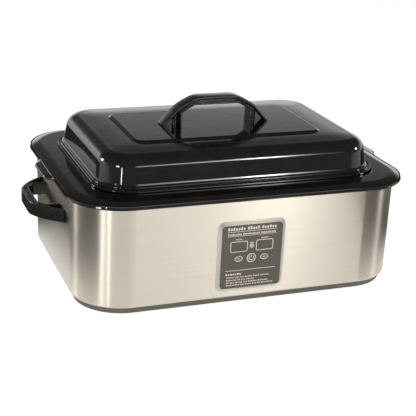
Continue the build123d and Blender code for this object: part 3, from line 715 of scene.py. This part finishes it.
# %% A band bent along a line
def rounded(width, height, corner, steps=6):
    """Points round a rounded rectangle centred on zero."""
    points = []
    for number, (sx, sy) in enumerate(CORNER_SIGNS):
        for step in range(steps + 1):
            angle = (number + step / steps) * math.pi / 2
            points.append((sx * (width / 2 - corner) + corner * math.cos(angle),
                           sy * (height / 2 - corner) + corner * math.sin(angle)))
    return points


def band(build, line, section):
    """Bend a section along a line in the x-z plane. The section holds (across, depth) pairs,
    with the depth to the left of the line, in millimetres."""
    rows = []
    for point, way in line:
        rows.append([build.verts.new(((point.x + way.x * depth) * MM, across * MM,
                                      (point.y + way.y * depth) * MM)) for across, depth in section])
    for one, two in zip(rows, rows[1:]):
        for a in range(len(section)):
            b = (a + 1) % len(section)
            build.faces.new((one[a], one[b], two[b], two[a]))
    build.faces.new(rows[0][::-1])
    build.faces.new(rows[-1])


def plate(build, outline, thickness):
    """A flat plate in the x-z plane from an outline of (x, z) points."""
    rows = [[build.verts.new((x * MM, across * MM, z * MM)) for x, z in outline]
            for across in (-thickness / 2, thickness / 2)]
    count = len(outline)
    for a in range(count):
        b = (a + 1) % count
        build.faces.new((rows[0][a], rows[0][b], rows[1][b], rows[1][a]))
    build.faces.new(rows[0][::-1])
    build.faces.new(rows[1])


print("bands and plates ready")

# %% [markdown]
# ### The three handles
# The lid handle lies along the lid; the side handles are shorter and stand out from the
# ends. One recipe makes all three from a length, a reach, a width and a finger opening. An
# edge is kept sharp only where two faces meet at more than about thirty degrees.

# %% The three handles
STRAP = 4.6
INNER_STRAP = 3.2
BAR_DEPTH = 11.4
WEB = 3.4
LEG_HEIGHT = 21.5
WEB_START = 0.86
BOSS_RADIUS = 5.0
BOSS_HEIGHT = 0.72 * LEG_HEIGHT
BOSS_OFFSET = 7.4
KNEE = (0.70, 0.67)
BAR_END = 0.385
SHARP = math.radians(32)


def strap_handle(name, measured, body, length, reach, width, opening):
    """A handle standing on z = 0 with its bar along x."""
    build = bmesh.new()
    half, top = length / 2 - STRAP / 2, reach - STRAP / 2
    sweep = bent_line([(-half, 0), (-half * KNEE[0], top * KNEE[1]), (-half * BAR_END, top),
                       (half * BAR_END, top), (half * KNEE[0], top * KNEE[1]), (half, 0)], [70, 34, 34, 70])
    band(build, sweep, rounded(width, STRAP, 1.6, 4))
    edge = width / 2
    slant = [(4.0 - edge, -1.0), (1.2 - edge, -8.4), (edge - 1.2, -8.4), (edge - 4.0, -1.0)]
    upper = [spot for spot in sweep if abs(spot[0].x) < half * 0.74]
    band(build, upper, slant)
    under = reach - BAR_DEPTH
    leg = opening / 2 + INNER_STRAP / 2
    hoop = bent_line([(-leg, 0), (-leg, LEG_HEIGHT), (-leg + 15.0, under), (leg - 15.0, under),
                      (leg, LEG_HEIGHT), (leg, 0)], [4, 6, 6, 4])
    band(build, hoop, rounded(width - 1.0, INNER_STRAP, 1.1, 3))
    for side in (-1, 1):
        outer = [(point.x, point.y) for point, way in sweep if point.x * side > leg * WEB_START]
        outer.sort(key=lambda spot: -abs(spot[0]))
        inner = [(side * leg * WEB_START, under - 3.0), (side * leg, LEG_HEIGHT - 2), (side * leg, 0.0)]
        plate(build, outer + inner, WEB)
        spot = Matrix.Translation((side * (leg + BOSS_OFFSET) * MM, 0, LEG_HEIGHT * 0.36 * MM))
        bmesh.ops.create_cone(build, cap_ends=True, segments=32, radius1=BOSS_RADIUS * MM,
                              radius2=BOSS_RADIUS * MM, depth=BOSS_HEIGHT * MM, matrix=spot)
    bmesh.ops.recalc_face_normals(build, faces=build.faces)
    for line in build.edges:
        line.smooth = line.calc_face_angle(0.0) < SHARP
    handle = built(name, build, smooth=True)
    handle.data.materials.append(PLASTICS["handle_plastic"])
    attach(handle, body)
    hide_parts(measured)
    print(name, "is", round(length), "mm long, its opening", round(opening), "mm")
    return handle


low, high = box_mm("lid_handle")
lid_strap = strap_handle("lid_strap_handle", "lid_handle", "lid", high[0] - low[0], high[2] - low[2],
                         high[1] - low[1], 114.0)
lid_strap.location = (0, 0, low[2] * MM)
for side, measured in ((-1, "left_handle"), (1, "right_handle")):
    low, high = box_mm(measured)
    strap = strap_handle(measured[:-7] + "_strap_handle", measured, "heater_body", high[1] - low[1],
                         high[0] - low[0], high[2] - low[2], 98.0)
    wall = low[0] if side > 0 else high[0]
    strap.matrix_world = Matrix(((0, 0, side, wall * MM), (side, 0, 0, 0),
                                 (0, 1, 0, (low[2] + high[2]) / 2 * MM), (0, 0, 0, 1)))

# %% [markdown]
# ## The bezel of the control panel
# The frame round the controls is a satin moulding that climbs inward in three narrow bands
# with a fine groove between them. Each band is only a millimetre or two wide, but it catches
# its own thin light.
# The same ring helper makes it lying down; the finished frame is then stood up in place.

# %% The bezel
low, high = box_mm("panel_bezel")
BEZEL_HALF = ((high[0] - low[0]) / 2, (high[2] - low[2]) / 2, 11.0)
CASING_FRONT = -186.5
BEZEL_MIDDLE = ((high[0] + low[0]) / 2, CASING_FRONT, (high[2] + low[2]) / 2)
BEZEL_PROUD = CASING_FRONT - low[1]
overlay_low, overlay_high = box_mm("panel_overlay")
FRAME_WIDTH = BEZEL_HALF[0] - (overlay_high[0] - overlay_low[0]) / 2 - 0.3

bands = [(0, 0), (0, 1.3), (1.45, 1.7), (1.6, 0.9), (2.05, 0.9), (2.2, 2.3), (3.45, 2.6), (3.6, 1.8),
         (4.05, 1.8), (4.2, BEZEL_PROUD - 0.4), (FRAME_WIDTH - 0.25, BEZEL_PROUD - 0.15),
         (FRAME_WIDTH, BEZEL_PROUD - 1.6)]
bezel_line = bent_line([(-inward, height) for inward, height in bands], [0.5] + [0.12] * 8 + [0.3])


def skin_rings(base, line):
    """Rings over one face of a line that runs round an outline, its right-hand side outward."""
    return [Ring(base[0] + p.x, base[1] + p.x, base[2] + p.x, p.y, -way.x, -way.y) for p, way in line]


def stood_up(piece, centre):
    """Turn a piece made lying down so that it faces the front, at a place in millimetres."""
    piece.rotation_euler = (math.pi / 2, 0, 0)
    piece.location = Vector(centre) * MM
    return piece


bezel = stood_up(shell_mesh("bezel_frame", skin_rings(BEZEL_HALF, bezel_line), False), BEZEL_MIDDLE)
bezel.data.materials.append(METALS["bezel_silver"])
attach(bezel, "heater_body")
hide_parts("panel_bezel")
print("frame width", round(FRAME_WIDTH, 2), "mm, proud", round(BEZEL_PROUD, 2), "mm")

# %% [markdown]
# ## The print on the panel
# The overlay is printed in pale ink: a heading, lines, outlines round the displays and the
# lamp, and signs on the keys. Real ink is a film with a thickness, so each mark is a thin
# ribbon of mesh lying on the surface. No words are printed here: rows of plain blocks keep
# the look of a heading and of small lines without saying anything.

# %% Ribbons and blocks of ink
INK = 0.06
FACE_Y = overlay_low[1]
PANEL_X = (overlay_low[0] + overlay_high[0]) / 2
PANEL_Z = (overlay_low[2] + overlay_high[2]) / 2


def ribbon(build, points, width, closed=True):
    """A flat ribbon of ink along points (x, z), standing INK proud of the face."""
    count = len(points)
    rows = []
    for number, point in enumerate(points):
        before = Vector(points[number - 1]) if closed or number else Vector(point)
        after = Vector(points[(number + 1) % count]) if closed or number < count - 1 else Vector(point)
        along = (after - before).normalized()
        side = Vector((-along.y, along.x)) * width / 2
        middle = Vector(point)
        rows.append([build.verts.new(((middle + side * s).x * MM, (middle + side * s).y * MM, z * MM))
                     for s, z in ((1, 0), (1, INK), (-1, INK), (-1, 0))])
    for number in range(count if closed else count - 1):
        one, two = rows[number], rows[(number + 1) % count]
        for a, b in ((0, 1), (1, 2), (2, 3)):
            build.faces.new((one[a], two[a], two[b], one[b]))
    if not closed:
        build.faces.new(rows[0])
        build.faces.new(rows[-1])


def oval(width, height, start=0.0, end=360.0, steps=40):
    """Points round an oval, or along part of it between two angles."""
    return [(width / 2 * math.cos(math.radians(start + (end - start) * s / steps)),
             height / 2 * math.sin(math.radians(start + (end - start) * s / steps))) for s in range(steps)]


def shifted(points, x, z):
    """The same points, moved across the face."""
    return [(px + x, pz + z) for px, pz in points]


def block_row(build, x, z, length, height, words):
    """A row of small upright blocks in groups, as long as a printed line."""
    gap = height * 0.62
    spare = length - gap * (len(words) - 1)
    pitch = spare / sum(words)
    for word in words:
        for letter in range(word):
            tall = height * (1.0 if letter == 0 or (letter * 7 + word) % 3 == 0 else 0.74)
            foot = x + pitch * 0.44
            ribbon(build, [(foot, z), (foot, z + tall)], pitch * 0.72, closed=False)
            x += pitch
        x += gap


def ink_piece(name, build, centre, body):
    """Finish a mesh of ink, stand it on a face and let it ride on a body."""
    bmesh.ops.recalc_face_normals(build, faces=build.faces)
    piece = stood_up(built(name, build), centre)
    piece.data.materials.append(PLASTICS["panel_print"])
    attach(piece, body)
    print(name, "has", len(piece.data.polygons), "faces")
    return piece


# %% [markdown]
# ### The marks
# Everything that stays with the panel is laid out from the panel's middle. The sign on a key
# is laid out from the key's own middle and rides on the key, so that it goes in with it.

# %% Heading and lines
ON_FACE = (PANEL_X, FACE_Y, PANEL_Z)
build = bmesh.new()
block_row(build, -39.5, 42.2, 78.5, 4.6, (7, 5, 6))
ribbon(build, [(-39.5, 40.0), (39.0, 40.0)], 0.8, closed=False)
block_row(build, -39.0, 34.3, 77.0, 3.0, (9, 11, 10))
ribbon(build, [(-39.5, 33.0), (39.0, 33.0)], 0.6, closed=False)
ink_piece("print_heading", build, ON_FACE, "heater_body")

# %% Outlines round the displays and the lamp
left_window, lamp = box_mm("left_display_window"), box_mm("heat_indicator")
right_window = box_mm("right_display_window")
build = bmesh.new()
for low, high in (left_window, right_window):
    x, z = (low[0] + high[0]) / 2 - PANEL_X, (low[2] + high[2]) / 2 - PANEL_Z
    ribbon(build, shifted(rounded(high[0] - low[0] + 0.5, high[2] - low[2] + 0.5, 2.0), x, z), 1.15)
    block_row(build, x - 5.5, z + 10.6, 11.0, 1.9, (6,))
x, z = (lamp[0][0] + lamp[1][0]) / 2 - PANEL_X, (lamp[0][2] + lamp[1][2]) / 2 - PANEL_Z
ribbon(build, shifted(oval(6.0, 6.0), x, z), 1.1)
block_row(build, x - 3.6, z + 4.2, 7.2, 1.8, (4,))
ink_piece("print_displays", build, ON_FACE, "heater_body")

# %% Divider and small lines
build = bmesh.new()
ribbon(build, [(-40.6, -22.0), (39.5, -22.0)], 0.9, closed=False)
block_row(build, -40.0, -29.3, 26.0, 2.9, (7,))
for z, length, words in ((-34.0, 69.0, (6, 4, 3, 6, 5, 7)), (-38.2, 45.0, (7, 2, 3, 5)),
                         (-42.4, 68.0, (2, 3, 5, 3, 6, 7)), (-46.4, 76.0, (9, 3, 4, 3, 2, 8))):
    block_row(build, -38.3, z, length, 1.9, words)
ink_piece("print_lines", build, ON_FACE, "heater_body")

# %% Signs on the keys
for key, sign in (("minus_button", "minus"), ("power_button", "power"), ("plus_button", "plus")):
    low, high = box_mm(key)
    spot = ((low[0] + high[0]) / 2, low[1], (low[2] + high[2]) / 2)
    build = bmesh.new()
    if sign == "power":
        ribbon(build, oval(13.4, 13.4), 1.2)
        ribbon(build, oval(7.2, 7.2, 125, 415)[:-1], 0.9, closed=False)
        ribbon(build, [(0, 0.8), (0, 4.6)], 0.9, closed=False)
    else:
        ribbon(build, oval(12.0, 7.8), 1.15)
        ribbon(build, [(-2.2, 0), (2.2, 0)], 0.9, closed=False)
        if sign == "plus":
            ribbon(build, [(0, -2.2), (0, 2.2)], 0.9, closed=False)
    ink_piece("print_" + sign, build, spot, key)

# %% [markdown]
# ## Floor, surround and lamps
# Shiny things show their surroundings more than their own colour, so most of this studio
# is there to be reflected. The floor is white paper that glows, which also keeps the picture's
# background clean.

# %% Floor
FLOOR_HALF = 14.0
build = bmesh.new()
bmesh.ops.create_grid(build, x_segments=24, y_segments=24, size=FLOOR_HALF)
floor = built("studio_floor", build)
paper, shader = new_finish("studio_paper", Roughness=0.9, Emission_Color=(1.0, 0.995, 0.985),
                           Emission_Strength=0.82)
tone = noise(paper, 1.5, detail=2.0)
drive(paper, shader, "Base Color",
      ramp(paper, tone, [(0.2, (0.90, 0.90, 0.895)), (0.8, (0.93, 0.93, 0.925))]))
floor.data.materials.append(paper)
print("floor half size", FLOOR_HALF, "m")

# %% [markdown]
# ## Surround
# The lid's top mirrors what is low down behind the heater, so the surround is bright only
# there and turns dark above. Ahead it is dim all the way up, to keep the lid's front black.

# %% Surround
world = bpy.data.worlds.new("studio_surround")
scene.world = world
world.use_nodes = True
tree = world.node_tree
facing = tree.nodes.new("ShaderNodeTexCoord")
split = tree.nodes.new("ShaderNodeSeparateXYZ")
tree.links.new(facing.outputs["Generated"], split.inputs["Vector"])


def world_ramp(value, stops):
    """Slightly warm greys along a direction of the surround."""
    return ramp_in(tree, value, [(position, (grey, grey * 0.99, grey * 0.97)) for position, grey in stops])


behind = world_ramp(split.outputs["Z"], [(0.0, 0.8), (0.19, 0.95), (0.235, 0.5), (0.27, 0.27),
                                         (0.32, 0.12), (0.4, 0.06), (1.0, 0.07)])
ahead = world_ramp(split.outputs["Z"], [(0.0, 0.14), (0.3, 0.12), (0.7, 0.10), (1.0, 0.08)])
join = tree.nodes.new("ShaderNodeMix")
join.data_type = "RGBA"
tree.links.new(world_ramp(split.outputs["Y"], [(0.0, 0.0), (0.35, 1.0)]), join.inputs["Factor"])
tree.links.new(ahead, join.inputs["A"])
tree.links.new(behind, join.inputs["B"])
tree.links.new(join.outputs["Result"], tree.nodes["Background"].inputs["Color"])
tree.nodes["Background"].inputs["Strength"].default_value = 1.6
print("surround: bright low down behind, dim elsewhere")

# %% [markdown]
# ## Lamps
# Small lamps left, right and behind make the dots of light on the lid's corners and the
# upright streaks in the steel. Each is aimed by a bearing and a height angle, because that
# is how one reads where a reflection must come from.

# %% Lamps
def bearing_way(bearing, height):
    """The direction on a bearing (degrees from +X) and a height angle."""
    turn, lift = math.radians(bearing), math.radians(height)
    return Vector((math.cos(turn) * math.cos(lift), math.sin(turn) * math.cos(lift), math.sin(lift)))


def lamp_at(name, bearing, height, distance, size, brightness, around):
    """A flat lamp on a bearing and a height angle, facing a point."""
    data = bpy.data.lights.new(name, "AREA")
    data.shape = "RECTANGLE"
    data.size, data.size_y = size
    data.energy = brightness * math.pi * size[0] * size[1]
    data.color = (1.0, 0.985, 0.96)
    lamp = bpy.data.objects.new(name, data)
    way = bearing_way(bearing, height)
    lamp.location = Vector(around) + way * distance
    lamp.rotation_euler = (-way).to_track_quat("-Z", "Y").to_euler()
    lamp.visible_camera = False
    scene.collection.objects.link(lamp)
    return lamp


lamp_at("left_front_lamp", -146, 13, 1.45, (0.26, 0.24), 26, (-0.22, -0.16, 0.2))
lamp_at("left_streak_lamp", -130, 2, 1.45, (0.035, 0.3), 60, (-0.22, -0.16, 0.2))
lamp_at("left_back_lamp", 141, 15, 1.4, (0.26, 0.24), 26, (-0.25, -0.12, 0.2))
lamp_at("right_lamp", -13, 18, 1.4, (0.26, 0.24), 26, (0.2, -0.15, 0.2))

# %% [markdown]
# ## A softbox with a hot middle
# A real softbox is brightest at its middle and fades to its rim. A flat lamp cannot do
# that, so this one is a glowing sheet, and two ramps multiply: one across it, one up it.

# %% Softbox
def softbox(name, bearing, height, distance, size, across, up, strength, around):
    """A glowing sheet on a bearing and a height angle, brighter in places across and up."""
    build = bmesh.new()
    bmesh.ops.create_grid(build, x_segments=1, y_segments=1, size=0.5)
    sheet = built(name, build)
    way = bearing_way(bearing, height)
    sheet.location = Vector(around) + way * distance
    sheet.rotation_euler = (-way).to_track_quat("Z", "Y").to_euler()
    sheet.scale = (*size, 1)
    sheet.visible_camera = sheet.visible_shadow = False
    glow, shader = new_finish(name, Roughness=1.0, Base_Color=(0.02, 0.02, 0.02),
                              Emission_Color=(1.0, 0.985, 0.96))
    tree = glow.node_tree
    place_on = tree.nodes.new("ShaderNodeTexCoord")
    parts = tree.nodes.new("ShaderNodeSeparateXYZ")
    tree.links.new(place_on.outputs["Generated"], parts.inputs["Vector"])
    both = tree.nodes.new("ShaderNodeMath")
    both.operation = "MULTIPLY"
    tree.links.new(ramp(glow, parts.outputs["X"], across), both.inputs[0])
    tree.links.new(ramp(glow, parts.outputs["Y"], up), both.inputs[1])
    scaled = tree.nodes.new("ShaderNodeMath")
    scaled.operation = "MULTIPLY"
    scaled.inputs[1].default_value = strength
    tree.links.new(both.outputs["Value"], scaled.inputs[0])
    drive(glow, shader, "Emission Strength", scaled.outputs["Value"])
    sheet.data.materials.append(glow)
    return sheet


ACROSS = [(0.0, 0.0), (0.34, 0.0), (0.393, 0.05), (0.43, 0.22), (0.448, 0.3), (0.465, 1.0), (0.52, 1.0),
          (0.54, 0.3), (0.62, 0.2), (1.0, 0.0)]
UP = [(0.0, 0.0), (0.35, 0.9), (0.5, 1.0), (0.65, 0.9), (1.0, 0.0)]
front_box = softbox("front_softbox", -66, 17, 1.6, (1.7, 0.36), ACROSS, UP, 42.0, (0.04, -0.18, 0.2))
print("softbox at", [round(v, 2) for v in front_box.location])

# %% [markdown]
# ## Dark mats
# Steel beside a white floor turns white itself, and its corners would vanish. Two dark mats
# on the floor, which only reflections see, give the ends their dark edges. They begin a
# little away from the casing, so the foot of the steel stays light.

# %% Dark mats
CORNER_RADIUS = 0.078
CORNER_X, CORNER_Y = 0.182, 0.1085
MAT_HEIGHT = 0.0015


def dark_mat(name, bearings, gaps, reach):
    """A flat mat on the floor round one end, seen only in reflections, for dark edges in the
    steel. Its inner edge may run nearer the heater at one end than at the other."""
    build = bmesh.new()
    rows = []
    for bearing in bearings:
        gap = gaps[0] if bearing <= 180 else gaps[1]
        turn = math.radians(bearing)
        heart = Vector((math.copysign(CORNER_X, math.cos(turn)), math.copysign(CORNER_Y, math.sin(turn)),
                        MAT_HEIGHT))
        way = Vector((math.cos(turn), math.sin(turn), 0.0))
        rows.append([build.verts.new(heart + way * (CORNER_RADIUS + out)) for out in (gap, reach)])
    for one, two in zip(rows, rows[1:]):
        build.faces.new((one[0], two[0], two[1], one[1]))
    mat = built(name, build)
    mat.data.materials.append(PLASTICS["foot_rubber"])
    mat.visible_camera = mat.visible_shadow = mat.visible_diffuse = False


dark_mat("left_mat", range(96, 220, 6), (0.06, 0.13), 1.6)
dark_mat("right_mat", range(-66, 60, 6), (0.13, 0.13), 1.6)
print("mats and lamps placed")

# %% [markdown]
# ## Camera
# A long lens from the front left, a little above, keeps the heater's edges nearly parallel.
# The camera's place and its turn are written as a matrix: right, up and back, then where.

# %% Camera
AZIMUTH, ELEVATION, ROLL = math.radians(-21.389), math.radians(20.274), math.radians(2.794)
camera_data = bpy.data.cameras.new("camera")
camera_data.lens = 92.136
camera_data.sensor_width = 36.0
camera_data.clip_end = 60.0
camera = bpy.data.objects.new("camera", camera_data)
scene.collection.objects.link(camera)
scene.camera = camera
forward = Vector((-math.sin(AZIMUTH) * math.cos(ELEVATION), math.cos(AZIMUTH) * math.cos(ELEVATION),
                  -math.sin(ELEVATION)))
level = forward.cross(Vector((0, 0, 1))).normalized()
upward = level.cross(forward)
right = level * math.cos(ROLL) + upward * math.sin(ROLL)
up = upward * math.cos(ROLL) - level * math.sin(ROLL)
STAND = (-0.60006, -1.52672, 0.69365)
camera.matrix_world = Matrix([(right[i], up[i], -forward[i], STAND[i]) for i in range(3)] + [(0, 0, 0, 1)])
scene.view_settings.view_transform = "Standard"
print("camera looks along", [round(v, 3) for v in forward])
